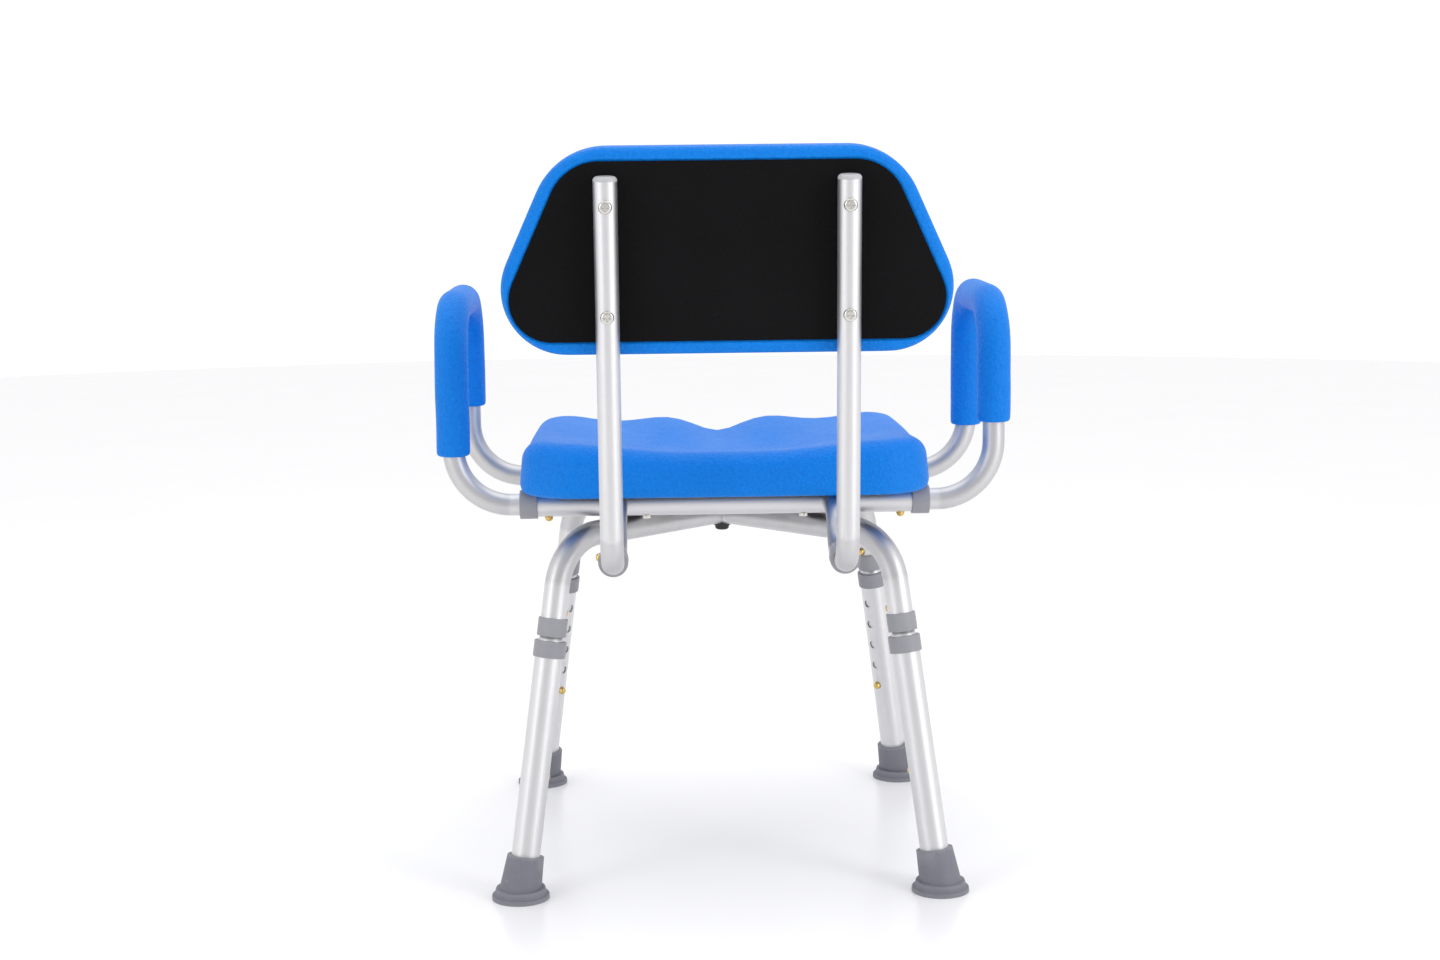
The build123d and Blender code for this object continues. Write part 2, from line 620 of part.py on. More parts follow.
def back_plugs():
    """Domed plugs in the tops of the back tubes."""
    height = BACK_TUBE_TOP - PLUG_DOME
    dome = extrude(Circle(ARM_TUBE / 2), PLUG_DOME)
    dome = fillet(dome.edges().group_by(Axis.Z)[-1], PLUG_DOME * 0.85)
    stem = Pos(0, 0, -PLUG_DEPTH) * extrude(Circle(ARM_TUBE / 2 - ARM_WALL), PLUG_DEPTH)
    plug = Rot(-90, 0, 0) * (dome + stem)
    return group(back_plane(height) * Pos(side * RAIL_X, 0, 0) * plug for side in (1, -1))


def pad_outline(inset):
    """The pad's outline in the plane of the back: a trapezium, wide below, with big round corners."""
    height = (PAD_HIGH - PAD_LOW) / cos(radians(BACK_LEAN))
    corners = [
        (-PAD_WIDTH_LOW / 2, 0),
        (PAD_WIDTH_LOW / 2, 0),
        (PAD_WIDTH_HIGH / 2, height),
        (-PAD_WIDTH_HIGH / 2, height),
    ]
    face = make_face(Polyline(*corners, close=True))
    face = fillet(face.vertices(), PAD_CORNER)
    if inset > 0:
        face = offset(face, -inset)
    return face


def pad_depth(distance):
    """Moves a sketch in the pad's plane towards the sitter."""
    return back_plane(PAD_LOW) * Pos(0, 0, distance)


def back_pad():
    """The padded back, with a recess for its rear panel."""
    rear = ARM_TUBE / 2 + PAD_GAP
    body = extrude(Pos(0, 0, rear) * pad_outline(0), PAD_THICK)
    body = fillet(body.edges().group_by(Axis.Z)[-1], PAD_FRONT_EDGE)
    body = fillet(body.edges().group_by(Axis.Z)[0], PAD_REAR_EDGE)
    body -= extrude(Pos(0, 0, rear - EPS) * pad_outline(PANEL_RIM), PANEL_THICK + EPS)
    return pad_depth(0) * body - screw_holes(SCREW / 2)


def back_panel():
    """The black panel set in the back of the pad."""
    rear = ARM_TUBE / 2 + PAD_GAP
    panel = extrude(Pos(0, 0, rear) * pad_outline(PANEL_RIM), PANEL_THICK)
    return pad_depth(0) * panel - screw_holes(SCREW / 2)


def pad_screws():
    """Four raised-head screws through the tubes into the pad."""
    reach = ARM_TUBE / 2 + PAD_GAP + SCREW_DEPTH
    seat = -ARM_TUBE / 2
    shaft = Pos(0, 0, seat) * extrude(Circle(SCREW / 2), reach - seat)
    head = Pos(0, 0, seat - SCREW_HEAD_HEIGHT) * extrude(Circle(SCREW_HEAD / 2), SCREW_HEAD_HEIGHT + 1.8)
    head = fillet(head.edges().group_by(Axis.Z)[0], SCREW_HEAD_HEIGHT * 0.8)
    head -= Rot(90, 0, 0) * Pos(0, 0, -SCREW_HEAD) * extrude(Circle(ARM_TUBE / 2), 2 * SCREW_HEAD)
    slot = Rectangle(RECESS_LENGTH, RECESS_WIDTH) + Rectangle(RECESS_WIDTH, RECESS_LENGTH)
    screw = shaft + head - Pos(0, 0, seat - SCREW_HEAD_HEIGHT - EPS) * extrude(slot, RECESS_DEPTH + EPS)
    return group(
        back_plane(height) * Pos(side * RAIL_X, 0, 0) * screw for height in screw_heights() for side in (1, -1)
    )


# ---- All the pieces -----------------------------------------------------------------------------

def leg_pieces():
    """The four legs, each with its own tubes, collar, foot and two snap buttons."""
    slim = FRAME_TUBE / 2 - FRAME_WALL - TUBE_PLAY
    height_button = snap_button(FRAME_TUBE / 2 - FRAME_WALL, LEG_TUBE / 2)
    top_button = snap_button(slim - FRAME_WALL, FRAME_TUBE / 2)
    towards_middle = Rot(-90, 0, 0)
    pieces = {}
    for name, sides in QUADRANTS.items():
        place = leg_frame(*sides)
        pieces["inner_tube_" + name] = place * inner_leg_tube()
        pieces["lower_tube_" + name] = place * lower_leg_tube()
        pieces["lower_collar_" + name] = place * lower_collar()
        pieces["foot_" + name] = foot(*sides)
        low, high = along_leg(HOLE_HEIGHT), along_leg(TOP_BUTTON_HEIGHT)
        pieces["height_button_" + name] = place * Pos(0, 0, low) * towards_middle * height_button
        pieces["top_button_" + name] = place * Pos(0, 0, high) * towards_middle * top_button
    return pieces


def frame_buttons():
    """The snap buttons under the crossbars and beside the back's sockets."""
    button = snap_button(ARM_TUBE / 2 - ARM_WALL, FRAME_TUBE / 2)
    pieces = {}
    for name, (side_x, side_y) in QUADRANTS.items():
        back = REAR_BAR if side_y > 0 else -FRONT_BAR
        pieces["arm_button_" + name] = Pos(side_x * BAR_BUTTON, back, BAR_HEIGHT) * Rot(180, 0, 0) * button
    for name, side in (("left", 1), ("right", -1)):
        place = Pos(side * RAIL_X, SOCKET_FACE - SOCKET_BUTTON, SOCKET_HEIGHT)
        pieces["back_button_" + name] = place * Rot(0, 90 * side, 0) * button
    return pieces


def all_pieces():
    """Every node of the chair by name, about the swivel axis."""
    through, halves = cross_tubes()
    screws = board_screws()
    bars = crossbars()
    for screw in screws:
        bars = group([solid - screw for solid in bars.solids()])
    pieces = {
        "cross_tube_through": through,
        "cross_tube_halves": halves,
        "upper_collars": group(leg_frame(*sides) * upper_collar() for sides in QUADRANTS.values()),
        "turn_plate_lower": lower_turn_plate(),
        "turn_bearing": bearing(),
        "pivot_bolt": pivot_bolt(),
        "pivot_washer": pivot_washer(),
        "pivot_nut": pivot_nut(),
        "turn_plate_upper": upper_turn_plate(),
        "crossbars": bars,
        "crossbar_collars": bar_collars(),
        "seat_rails": seat_rails(),
        "socket_collars": socket_collars(),
        "seat_board": seat_board(),
        "board_screws": group(screws),
        "seat_cushion": seat_cushion(),
        "arm_tube_left": arm_tube(),
        "arm_sleeve_left": arm_sleeve(),
        "arm_tube_right": other_side(arm_tube()),
        "arm_sleeve_right": other_side(arm_sleeve()),
        "back_tubes": back_tubes(),
        "back_plugs": back_plugs(),
        "back_pad": back_pad(),
        "back_panel": back_panel(),
        "pad_screws": pad_screws(),
    }
    pieces["pivot_washer"] -= rod((0, 0, 0), (0, 0, CROSS_TOP), PIVOT_BOLT / 2)
    pieces.update(leg_pieces())
    pieces.update(frame_buttons())
    return pieces


def outline_middle(pieces):
    """Y of the middle of the chair's outline, from the swivel axis."""
    boxes = [piece.bounding_box() for piece in pieces.values()]
    return (min(box.min.Y for box in boxes) + max(box.max.Y for box in boxes)) / 2


def main():
    """Makes every piece, centres the chair and writes one STEP file for each node."""
    os.makedirs("parts", exist_ok=True)
    pieces = all_pieces()
    middle = outline_middle(pieces)
    print("swivel axis at Y", round(-middle, 4))
    for name, piece in pieces.items():
        export_step(Pos(0, -middle, 0) * piece, os.path.join("parts", name + ".step"))


main()
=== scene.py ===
"""A swivel bath chair with a moulded blue foam seat, back and arm sleeves on a satin aluminium frame.

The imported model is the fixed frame. The foam pieces and the black back panel are modelled here. The tubes,
collars, feet, buttons and screws keep their own shapes and get their finishes here.
"""

import bmesh
import bpy
from math import cos, pi, radians, sin, tan
from mathutils import Matrix, Vector


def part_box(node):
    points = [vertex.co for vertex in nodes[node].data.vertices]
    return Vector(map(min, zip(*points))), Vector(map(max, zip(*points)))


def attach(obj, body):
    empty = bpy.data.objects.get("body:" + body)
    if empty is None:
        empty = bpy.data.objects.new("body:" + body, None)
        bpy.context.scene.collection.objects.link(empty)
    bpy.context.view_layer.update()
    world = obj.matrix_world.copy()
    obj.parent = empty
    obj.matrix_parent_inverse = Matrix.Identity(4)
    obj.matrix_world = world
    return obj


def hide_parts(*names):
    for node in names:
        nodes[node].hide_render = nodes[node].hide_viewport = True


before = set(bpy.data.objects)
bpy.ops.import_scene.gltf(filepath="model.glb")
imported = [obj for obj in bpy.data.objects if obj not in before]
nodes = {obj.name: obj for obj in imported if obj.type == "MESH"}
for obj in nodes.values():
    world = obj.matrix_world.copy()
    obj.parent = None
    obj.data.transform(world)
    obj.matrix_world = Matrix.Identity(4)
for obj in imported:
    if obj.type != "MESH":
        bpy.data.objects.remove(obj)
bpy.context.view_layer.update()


# ---- Finishes ------------------------------------------------------------------------------------

# Numbers of the colour mixer's sockets, which share their names with its other kinds.
FIRST_COLOUR = 6
SECOND_COLOUR = 7
MIXED_COLOUR = 2
EDGE_WEAR_AND_HIGHLIGHT_POINTINESS = (0.505, 0.56)  # from flat to a convex edge: worn on most finishes, a painted highlight on the blue foam


class Value:
    """A socket that can be used in sums."""

    def __init__(self, finish, socket):
        self.finish = finish
        self.socket = socket

    def math(self, operation, first, second):
        """The result of one sum, as a value."""
        return self.finish.node("ShaderNodeMath", {"operation": operation}, {0: first, 1: second})

    def __add__(self, other):
        return self.math("ADD", self, other)

    def __mul__(self, other):
        return self.math("MULTIPLY", self, other)

    __radd__ = __add__
    __rmul__ = __mul__


class Finish:
    """One material under construction, or the studio room's."""

    def __init__(self, name, holder=None):
        self.material = holder or bpy.data.materials.new(name)
        self.material.use_nodes = True
        self.tree = self.material.node_tree
        self.tree.nodes.clear()
        if holder is None:
            self.place = self.node("ShaderNodeTexCoord", {}, {}, "Object")

    def node(self, kind, settings, inputs, out=0):
        """Makes a node, sets it up, fills or links its sockets and returns one of its outputs."""
        made = self.tree.nodes.new(kind)
        for key, value in settings.items():
            if key == "stops":
                ramp = made.color_ramp
                while len(ramp.elements) < len(value):
                    ramp.elements.new(0.5)
                for element, (position, shade) in zip(ramp.elements, value):
                    element.position = position
                    element.color = shade
            else:
                setattr(made, key, value)
        for key, value in inputs.items():
            if isinstance(value, Value):
                self.tree.links.new(value.socket, made.inputs[key])
            else:
                made.inputs[key].default_value = value
        return Value(self, made.outputs[out])

    def noise(self, scale, detail=2.0, roughness=0.5, stretch=None):
        """Cloudy noise with features of about 1 / scale metres."""
        place = self.place
        if stretch:
            place = self.node("ShaderNodeMapping", {}, {"Vector": place, "Scale": stretch})
        inputs = {"Vector": place, "Scale": scale, "Detail": detail, "Roughness": roughness}
        return self.node("ShaderNodeTexNoise", {}, inputs)

    def cells(self, scale):
        """Cell pattern of leather grain."""
        return self.node("ShaderNodeTexVoronoi", {}, {"Vector": self.place, "Scale": scale}, "Distance")

    def ramp(self, value, low, high):
        """Value stretched so that low becomes 0 and high becomes 1."""
        settings = {"stops": [(low, (0, 0, 0, 1)), (high, (1, 1, 1, 1))]}
        return self.node("ShaderNodeValToRGB", settings, {"Fac": value})

    def mix(self, amount, first, second):
        """Two colours mixed by an amount."""
        inputs = {"Factor": amount, FIRST_COLOUR: first, SECOND_COLOUR: second}
        return self.node("ShaderNodeMix", {"data_type": "RGBA"}, inputs, MIXED_COLOUR)

    def edge(self):
        """1 on convex edges, 0 elsewhere: the mask of edge wear, and of the painted highlight on the blue foam.
        """
        pointed = self.node("ShaderNodeNewGeometry", {}, {}, "Pointiness")
        return self.ramp(pointed, *EDGE_WEAR_AND_HIGHLIGHT_POINTINESS)

    def bump(self, height, strength, depth):
        """A normal that follows a height pattern."""
        inputs = {"Strength": strength, "Distance": depth, "Height": height}
        return self.node("ShaderNodeBump", {}, inputs, "Normal")

    def surface(self, colour, roughness, normal=None, **sockets):
        """Ends the material in one principled shader."""
        inputs = {"Base Color": colour, "Roughness": roughness}
        inputs.update({key.replace("_", " "): value for key, value in sockets.items()})
        if normal:
            inputs["Normal"] = normal
        shader = self.node("ShaderNodeBsdfPrincipled", {}, inputs)
        output = self.tree.nodes.new("ShaderNodeOutputMaterial")
        self.tree.links.new(shader.socket, output.inputs["Surface"])
        return self.material


def colour(red, green, blue):
    """An opaque colour."""
    return (red, green, blue, 1.0)


def make_blue_foam():
    """Integral-skin foam: deep blue, fine leather grain, a soft satin face and a painted highlight on its
    convex edges.
    """
    finish = Finish("blue_foam_skin")
    large = finish.cells(330.0)
    small = finish.cells(760.0)
    wrinkle = finish.noise(240.0, 5.0, 0.65)
    cloud = finish.noise(9.0, 3.0)
    drift = finish.noise(60.0, 4.0)
    crease = finish.noise(95.0, 6.0, 0.7)
    grain = large * 0.50 + small * 0.22 + wrinkle * 0.35 + crease * 0.30
    base = finish.mix(cloud, colour(0.0002, 0.193, 0.695), colour(0.0004, 0.220, 0.770))
    base = finish.mix(finish.ramp(grain, 0.52, 0.88) * 0.35, base, colour(0.0002, 0.121, 0.535))
    # Painted highlight: convex edges, such as the cushion's rear lip, mixed towards a lighter blue.
    base = finish.mix(finish.edge() * 0.25, base, colour(0.006, 0.272, 0.85))
    roughness = drift * 0.12 + grain * 0.12 + 0.34
    height = grain + drift * 0.4
    return finish.surface(
        base, roughness, finish.bump(height, 0.80, 0.0016), Specular_IOR_Level=0.22, IOR=1.42
    )


def make_black_panel():
    """Black felt-faced board: fibres and a little lint."""
    finish = Finish("black_panel_cloth")
    fibre = finish.noise(1400.0, 4.0, 0.7)
    weave = finish.noise(420.0, 3.0, 0.65)
    cloud = finish.noise(14.0, 3.0)
    lint = finish.ramp(finish.noise(900.0, 1.0), 0.74, 0.80)
    base = finish.mix(cloud * 0.6 + weave * 0.4, colour(0.0020, 0.0019, 0.0022), colour(0.0058, 0.0054, 0.0062))
    base = finish.mix(lint * 0.35, base, colour(0.05, 0.05, 0.055))
    height = fibre * 0.6 + weave * 0.6
    return finish.surface(
        base, fibre * 0.1 + 0.86, finish.bump(height, 0.6, 0.0005), Specular_IOR_Level=0.14,
        Sheen_Weight=0.05, Sheen_Roughness=0.5, Sheen_Tint=colour(0.5, 0.5, 0.55),
    )


def make_satin_aluminium(name, low, high, smooth):
    """Blasted and anodised tube."""
    finish = Finish(name)
    blast = finish.noise(2200.0, 2.0)
    handling = finish.noise(26.0, 4.0, 0.6)
    bands = finish.noise(9.0, 2.0)
    base = finish.mix(handling * 0.5 + bands * 0.5, colour(*low), colour(*high))
    base = finish.mix(finish.edge() * 0.4, base, colour(0.93, 0.93, 0.94))
    roughness = handling * 0.08 + blast * 0.06 + smooth
    return finish.surface(base, roughness, finish.bump(blast, 0.12, 0.0002), Metallic=1.0)


def make_moulded(name, dark, light, worn, rough, grain_scale, grain_strength):
    """Moulded plastic or rubber with a fine spark-eroded texture."""
    finish = Finish(name)
    grain = finish.noise(grain_scale, 3.0, 0.6)
    cloud = finish.noise(30.0, 3.0)
    scuffs = finish.ramp(finish.noise(160.0, 4.0, 0.7, (1.0, 1.0, 0.3)), 0.62, 0.75)
    base = finish.mix(cloud, colour(*dark), colour(*light))
    base = finish.mix(scuffs * 0.15 + finish.edge() * 0.3, base, colour(*worn))
    roughness = grain * 0.12 + scuffs * 0.08 + rough
    return finish.surface(base, roughness, finish.bump(grain, grain_strength, 0.0003), IOR=1.48)


def make_bright_metal(name, dark, light, smooth):
    """Plated or brass small parts, a little tarnished."""
    finish = Finish(name)
    spots = finish.noise(700.0, 4.0, 0.7)
    polish = finish.noise(2500.0, 2.0)
    base = finish.mix(finish.ramp(spots, 0.35, 0.7), colour(*dark), colour(*light))
    base = finish.mix(finish.edge() * 0.3, base, colour(*[min(1.0, part * 1.15) for part in light]))
    return finish.surface(base, spots * 0.16 + smooth, finish.bump(polish, 0.1, 0.0002), Metallic=1.0)


def make_floor():
    """Pale studio floor with a faint gloss."""
    finish = Finish("studio_floor")
    cloud = finish.noise(2.0, 3.0)
    base = finish.mix(cloud, colour(0.90, 0.895, 0.90), colour(0.93, 0.925, 0.93))
    return finish.surface(base, cloud * 0.05 + 0.22, Specular_IOR_Level=0.35)


blue_foam = make_blue_foam()
black_panel = make_black_panel()
aluminium = make_satin_aluminium(
    "satin_aluminium", low=(0.52, 0.515, 0.52), high=(0.60, 0.595, 0.60), smooth=0.38
)
plated_steel = make_bright_metal("plated_steel", dark=(0.55, 0.54, 0.50), light=(0.80, 0.78, 0.73), smooth=0.14)
brass = make_bright_metal("button_brass", dark=(0.50, 0.34, 0.10), light=(0.86, 0.62, 0.22), smooth=0.16)
grey_plastic = make_moulded(
    "grey_collar_plastic", dark=(0.265, 0.265, 0.29), light=(0.32, 0.32, 0.345), worn=(0.38, 0.385, 0.40),
    rough=0.42, grain_scale=900.0, grain_strength=0.2,
)
silver_plastic = make_moulded(
    "silver_plug_plastic", dark=(0.42, 0.42, 0.43), light=(0.50, 0.50, 0.51), worn=(0.62, 0.62, 0.63),
    rough=0.34, grain_scale=1200.0, grain_strength=0.15,
)
grey_rubber = make_moulded(
    "grey_foot_rubber", dark=(0.155, 0.155, 0.185), light=(0.20, 0.20, 0.235), worn=(0.32, 0.325, 0.34),
    rough=0.52, grain_scale=620.0, grain_strength=0.35,
)
black_plastic = make_moulded(
    "black_moulded_plastic", dark=(0.010, 0.010, 0.011), light=(0.020, 0.020, 0.022), worn=(0.06, 0.06, 0.065),
    rough=0.45, grain_scale=800.0, grain_strength=0.25,
)
bearing_plastic = make_moulded(
    "bearing_plastic", dark=(0.62, 0.61, 0.58), light=(0.70, 0.69, 0.66), worn=(0.78, 0.77, 0.75),
    rough=0.38, grain_scale=1000.0, grain_strength=0.12,
)

QUARTERS = ("rear_left", "rear_right", "front_left", "front_right")
FINISHES = {
    "cross_tube_through": aluminium, "cross_tube_halves": aluminium, "crossbars": aluminium,
    "seat_rails": aluminium, "back_tubes": aluminium, "arm_tube_left": aluminium, "arm_tube_right": aluminium,
    "upper_collars": grey_plastic, "crossbar_collars": grey_plastic, "socket_collars": grey_plastic,
    "back_plugs": silver_plastic, "pad_screws": plated_steel, "board_screws": plated_steel,
    "pivot_bolt": plated_steel, "pivot_washer": black_plastic, "pivot_nut": black_plastic,
    "turn_plate_lower": aluminium, "turn_plate_upper": aluminium, "turn_bearing": bearing_plastic,
    "seat_board": black_plastic, "back_button_left": brass, "back_button_right": brass,
}
for quarter in QUARTERS:
    FINISHES.update({
        "inner_tube_" + quarter: aluminium, "lower_tube_" + quarter: aluminium,
        "lower_collar_" + quarter: grey_plastic, "foot_" + quarter: grey_rubber,
        "height_button_" + quarter: brass, "top_button_" + quarter: brass,
        "arm_button_" + quarter: brass,
    })
for name, finish_material in FINISHES.items():
    slots = nodes[name].material_slots
    for slot in slots:
        slot.material = finish_material
    if not slots:
        nodes[name].data.materials.append(finish_material)


# ---- Modelling tools -----------------------------------------------------------------------------

SAME_PLACE = 1e-6
ROUNDING_LEVELS = 1


def add_piece(name, mesh, material, body, stands_for):
    """Turns a bmesh into a finished piece of the chair."""
    data = bpy.data.meshes.new(name)
    bmesh.ops.remove_doubles(mesh, verts=mesh.verts, dist=SAME_PLACE)
    bmesh.ops.recalc_face_normals(mesh, faces=mesh.faces)
    for face in mesh.faces:
        face.smooth = True
    mesh.to_mesh(data)
    mesh.free()
    piece = bpy.data.objects.new(name, data)
    bpy.context.scene.collection.objects.link(piece)
    data.materials.append(material)
    rounding = piece.modifiers.new("rounding", "SUBSURF")
    rounding.levels = rounding.render_levels = ROUNDING_LEVELS
    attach(piece, body)
    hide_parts(*stands_for)
    return piece


def items_of(made, kind):
    """The corners or the edges among what an operator made."""
    return [item for item in made if isinstance(item, kind)]


def first_ring(mesh, places):
    """A closed ring of edges through the places."""
    made = bmesh.ops.create_circle(mesh, cap_ends=False, segments=len(places), radius=1.0)
    ring = list(made["verts"])
    for corner, place in zip(ring, places):
        corner.co = place
    return ring


def next_ring(mesh, ring, places):
    """Extrudes a ring and moves the new one to its places."""
    edges = []
    for corner, follower in zip(ring, ring[1:] + ring[:1]):
        edges.append(next(edge for edge in corner.link_edges if edge.other_vert(corner) is follower))
    made = bmesh.ops.extrude_edge_only(mesh, edges=edges)
    fresh = set(items_of(made["geom"], bmesh.types.BMVert))
    moved = []
    for corner in ring:
        neighbours = (edge.other_vert(corner) for edge in corner.link_edges)
        moved.append(next(neighbour for neighbour in neighbours if neighbour in fresh))
    for corner, place in zip(moved, places):
        corner.co = place
    return moved


def skin(rings):
    """A skin through a stack of rings, with a pole at each end."""
    mesh = bmesh.new()
    ring = start = first_ring(mesh, rings[0])
    for places in rings[1:]:
        ring = next_ring(mesh, ring, places)
    for end in (start, ring):
        middle = sum((corner.co for corner in end), Vector()) / len(end)
        bmesh.ops.pointmerge(mesh, verts=end, merge_co=middle)
    return mesh


def soften(low, high, value):
    """0 below low, 1 above high, and smooth between."""
    share = min(1.0, max(0.0, (value - low) / (high - low)))
    return share * share * (3.0 - 2.0 * share)


# ---- Seat cushion --------------------------------------------------------------------------------

seat_low_corner, seat_high_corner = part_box("seat_cushion")
board_low_corner, board_high_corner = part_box("seat_board")
SEAT_MIDDLE = (seat_low_corner + seat_high_corner) / 2
SEAT_HALF_WIDTH = (seat_high_corner.x - seat_low_corner.x) / 2
SEAT_HALF_LENGTH = (seat_high_corner.y - seat_low_corner.y) / 2
SEAT_UNDERSIDE = seat_low_corner.z - 0.0018
SEAT_CORNER = 0.062
SEAT_POLE_MARGIN = 0.004
SEAT_CORNER_GROWTH = 0.8  # how much of its roundness the outline keeps as it shrinks to the middle
SEAT_SHOULDER = 0.021  # radius of the soft edge round the top
SEAT_DRAFT = 0.0030  # how far the side leans in, up to the shoulder
SEAT_SIDE_START = 0.0006
SEAT_SIDE_HEIGHT = 0.010
SHOULDER_STEPS = 8
SEAT_TOP_STEPS = 24
SEAT_TOP_INSET = 0.0240
SEAT_POLE_INSET = 0.032
BOARD_CLEARANCE = 0.0006
BOARD_CORNER = 0.026
BOARD_RIM_DEPTH = 0.0015

# Inset of each ring, and its height over the underside, from the flat underside out to the side.
UNDERSIDE_EDGE = ((0.030, 0.0), (0.012, 0.0), (0.0055, 0.0006), (0.0028, 0.0026), (0.0014, 0.006))

# Heights of the top over the floor, and how far they rise or sink from the middle outwards.
NOTCH_HEIGHT = 0.4165
NOTCH_RISE = 0.0240
HUMP_HEIGHT = NOTCH_HEIGHT + NOTCH_RISE
GROOVE_SINK = 0.0070
GROOVE_HEIGHT = HUMP_HEIGHT - GROOVE_SINK
FRONT_RIM_RISE = 0.0090
MIDDLE_HEIGHT = 0.4230
MIDDLE_RIM_RISE = 0.0240
REAR_HEIGHT = 0.4435
REAR_RIM_RISE = 0.0105

# Where those changes lie across the cushion, in metres from its middle.
HUMP_PLACE = 0.056
GROOVE_PLACE = 0.110
NOTCH_SPAN = (-0.008, 0.054)
GROOVE_SPAN = (0.058, 0.108)
FRONT_RIM_SPAN = (0.112, 0.180)
MIDDLE_RIM_SPAN = (0.030, 0.190)
REAR_RIM_SPAN = (0.040, 0.170)

# Where the front and the rear fade into the middle, as shares of the length from the front.
FRONT_FADE = (0.02, 0.52)
REAR_FADE = (0.58, 0.94)


def rounded_outline(half_width, half_length, corner, straight=10, bend=14):
    """Places round a rectangle with rounded corners, always the same number of them."""
    places = []
    arcs = []
    for side_x, side_y, start in ((1, 1, 0.0), (-1, 1, pi / 2), (-1, -1, pi), (1, -1, 3 * pi / 2)):
        centre = Vector((side_x * (half_width - corner), side_y * (half_length - corner)))
        angles = [start + pi / 2 * step / bend for step in range(bend + 1)]
        arcs.append([centre + corner * Vector((cos(angle), sin(angle))) for angle in angles])
    for arc, next_arc in zip(arcs, arcs[1:] + arcs[:1]):
        places += arc
        places += [arc[-1].lerp(next_arc[0], step / straight) for step in range(1, straight)]
    return places


def seat_top(x, y):
    """Height of the cushion's top: raised rims, a dished middle, thigh grooves and a dip in front."""
    across = abs(x)
    along = (y - (SEAT_MIDDLE.y - SEAT_HALF_LENGTH)) / (2 * SEAT_HALF_LENGTH)
    if across < HUMP_PLACE:
        front = NOTCH_HEIGHT + NOTCH_RISE * soften(*NOTCH_SPAN, across)
    elif across < GROOVE_PLACE:
        front = HUMP_HEIGHT - GROOVE_SINK * soften(*GROOVE_SPAN, across)
    else:
        front = GROOVE_HEIGHT + FRONT_RIM_RISE * soften(*FRONT_RIM_SPAN, across)
    middle = MIDDLE_HEIGHT + MIDDLE_RIM_RISE * soften(*MIDDLE_RIM_SPAN, across)
    rear = REAR_HEIGHT + REAR_RIM_RISE * soften(*REAR_RIM_SPAN, across)
    to_front = 1.0 - soften(*FRONT_FADE, along)
    to_rear = soften(*REAR_FADE, along)
    return front * to_front + rear * to_rear + middle * (1.0 - to_front - to_rear)


def seat_ring(inset, height=None, drop=0.0, board=False):
    """One ring of the cushion or round its board, level at a height or a drop below the cushion's top."""
    if board:
        half = (board_high_corner - board_low_corner) / 2
        flat = rounded_outline(half.x + BOARD_CLEARANCE, half.y + BOARD_CLEARANCE, BOARD_CORNER)
    else:
        shrink = 1.0 - inset / (SEAT_HALF_LENGTH + SEAT_POLE_MARGIN)
        corner = max(SEAT_CORNER - inset, SEAT_CORNER * shrink * SEAT_CORNER_GROWTH)
        flat = rounded_outline(SEAT_HALF_WIDTH - inset, SEAT_HALF_LENGTH - inset, corner)
    places = []
    for place in flat:
        x, y = place.x + SEAT_MIDDLE.x, place.y + SEAT_MIDDLE.y
        top = seat_top(x, y)
        places.append(Vector((x, y, top - drop if height is None else height)))
    return places


def make_seat_cushion():
    """The moulded cushion, stuck round its board."""
    board_top = board_high_corner.z + BOARD_CLEARANCE
    rings = [seat_ring(inset, board_top) for inset in (0.150, 0.100, 0.060, 0.0425)]
    for height in (board_top, SEAT_UNDERSIDE + BOARD_RIM_DEPTH):
        rings.append(seat_ring(0.0, height, board=True))
    rings += [seat_ring(inset, SEAT_UNDERSIDE + height) for inset, height in UNDERSIDE_EDGE]
    side_low = seat_ring(SEAT_SIDE_START, SEAT_UNDERSIDE + SEAT_SIDE_HEIGHT)
    side_high = seat_ring(SEAT_DRAFT, drop=SEAT_SHOULDER)
    for share in (0.0, 0.5):
        rings.append([low.lerp(high, share) for low, high in zip(side_low, side_high)])
    for step in range(SHOULDER_STEPS + 1):
        angle = pi / 2 * step / SHOULDER_STEPS
        inset = SEAT_DRAFT + SEAT_SHOULDER * (1.0 - cos(angle))
        rings.append(seat_ring(inset, drop=SEAT_SHOULDER * (1.0 - sin(angle))))
    for step in range(1, SEAT_TOP_STEPS):
        inset = SEAT_TOP_INSET + (SEAT_HALF_LENGTH - SEAT_POLE_INSET) * step / SEAT_TOP_STEPS
        rings.append(seat_ring(inset))
    mesh = skin(rings)
    cushion = add_piece("moulded_seat_cushion", mesh, blue_foam, "seat", ["seat_cushion"])
    return cushion


# ---- Back pad and panel --------------------------------------------------------------------------

BACK_LEAN = radians(5.0)
tube_high_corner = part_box("back_tubes")[1]
PAD_HEIGHT = 0.1908 / cos(BACK_LEAN)
PAD_HALF_FOOT = 0.243
PAD_HALF_HEAD = 0.156
PAD_CORNERS = (0.0605, 0.0605, 0.0700, 0.0700)  # two lower, two upper
PAD_THICK = 0.038
PAD_MIDDLE = 0.49  # of its height
PAD_REAR_ROUND = 0.0072
PAD_FRONT_ROUND = 0.0150
PAD_CROWN = 0.0022
ROUND_STEPS = 6
FRONT_ROUND_STEPS = 8
CROWN_STEPS = 16
LEAST_CORNER = 0.004
PANEL_THICK = 0.004
PANEL_RIM = 0.0125  # width of the foam round the panel
PANEL_TIGHTER = 0.009  # how much smaller the panel's corner radii are than the pad's
PANEL_FLOOR_GAP = 0.0004
REAR_ZONE = 0.006  # depth of the pad's rear part, where the panel's tighter corners hold
